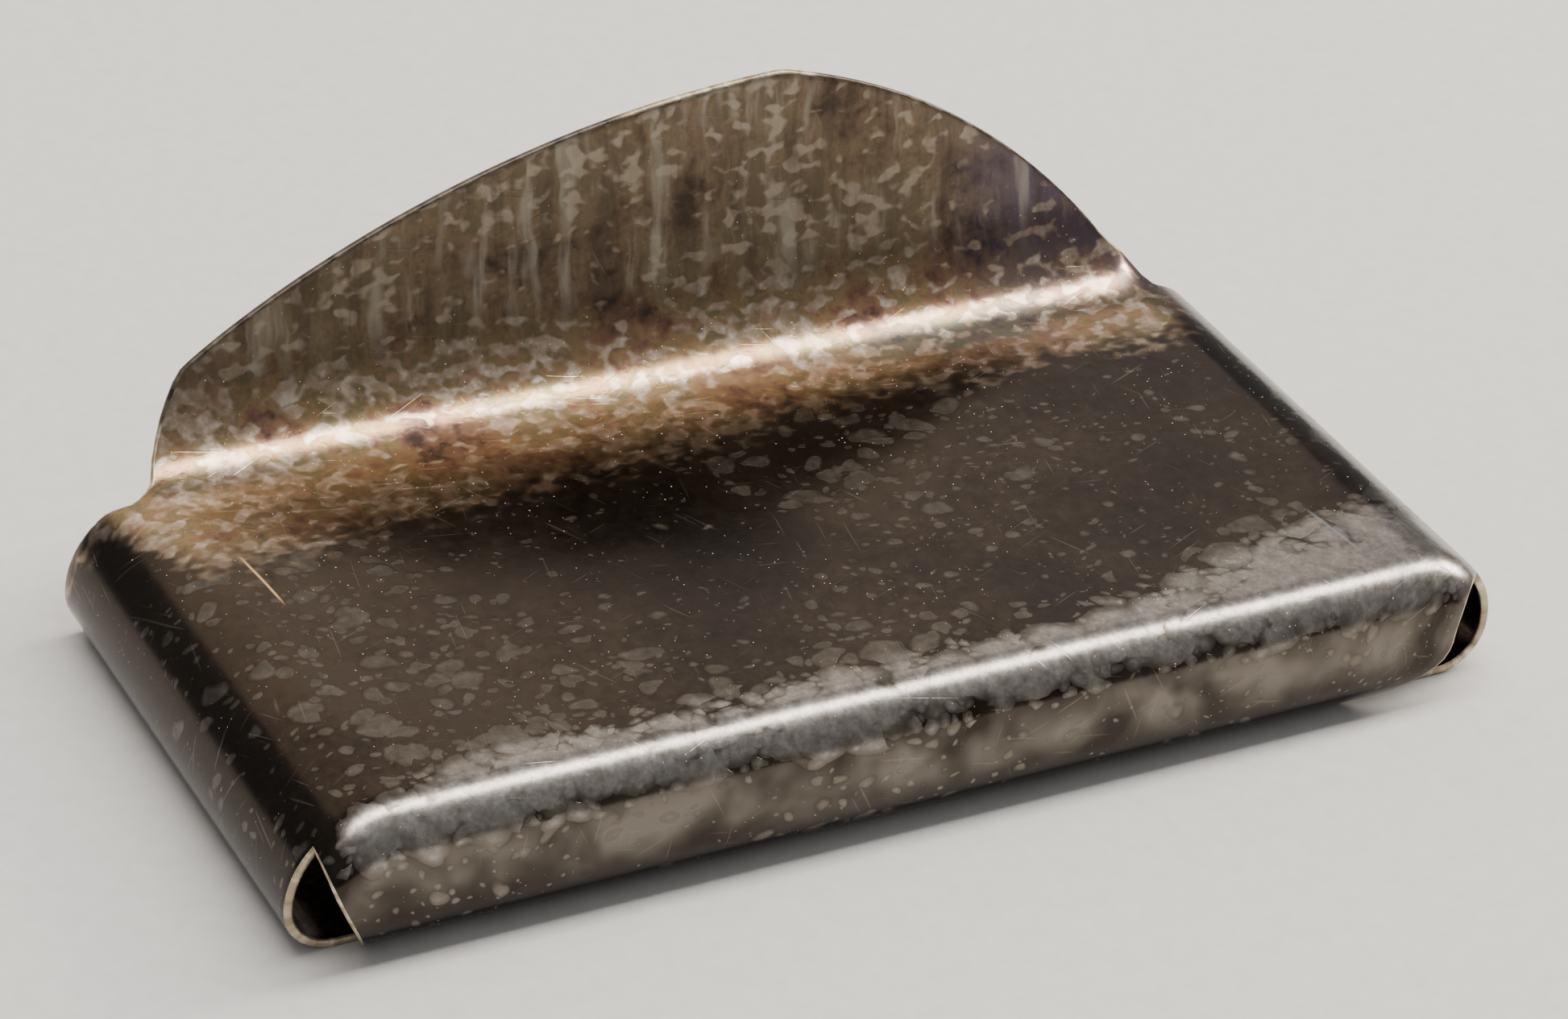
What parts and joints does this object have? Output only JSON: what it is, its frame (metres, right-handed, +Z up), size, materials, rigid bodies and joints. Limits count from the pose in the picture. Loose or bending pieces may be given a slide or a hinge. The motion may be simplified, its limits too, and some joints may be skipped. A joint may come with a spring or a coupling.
{
  "type": "money clip",
  "caption": "Wide sprung money clip: a formed sheet cover with rolled edges and a flared thumb lip, and a hinged pressure leaf under it.",
  "frame": {"origin": "middle of the footprint, on the surface the clip stands on", "axes": "+X across the clip, +Y from the rolled front to the open mouth and the flared lip, +Z up"},
  "size_m": [0.06, 0.0316, 0.0198],
  "materials": {
    "tarnished_silver": "polished sterling silver under a dark brown and grey tarnish",
    "leaf_silver": "satin silver with a light tarnish",
    "hinge_silver": "satin silver, darkened in the corners",
    "pin_steel": "drawn steel pin with peened ends",
    "spring_steel": "drawn spring wire"
  },
  "bodies": {
    "cover": {"clip_body": "tarnished_silver", "left_hinge_knuckle": "hinge_silver", "right_hinge_knuckle": "hinge_silver", "hinge_pin": "pin_steel", "left_torsion_spring": "spring_steel", "right_torsion_spring": "spring_steel"},
    "leaf": {"pressure_leaf": "leaf_silver", "leaf_knuckle": "hinge_silver"}
  },
  "joints": [
    {"name": "leaf_hinge", "type": "hinge", "parent": "cover", "child": "leaf", "pos_m": [0, -0.01408, 0.0023], "axis": [-1, 0, 0], "range_deg": [0, 35], "stiffness_Nm_per_rad": 0.03, "springref_deg": -45.84, "deforming": ["left_torsion_spring", "right_torsion_spring"]}
  ]
}
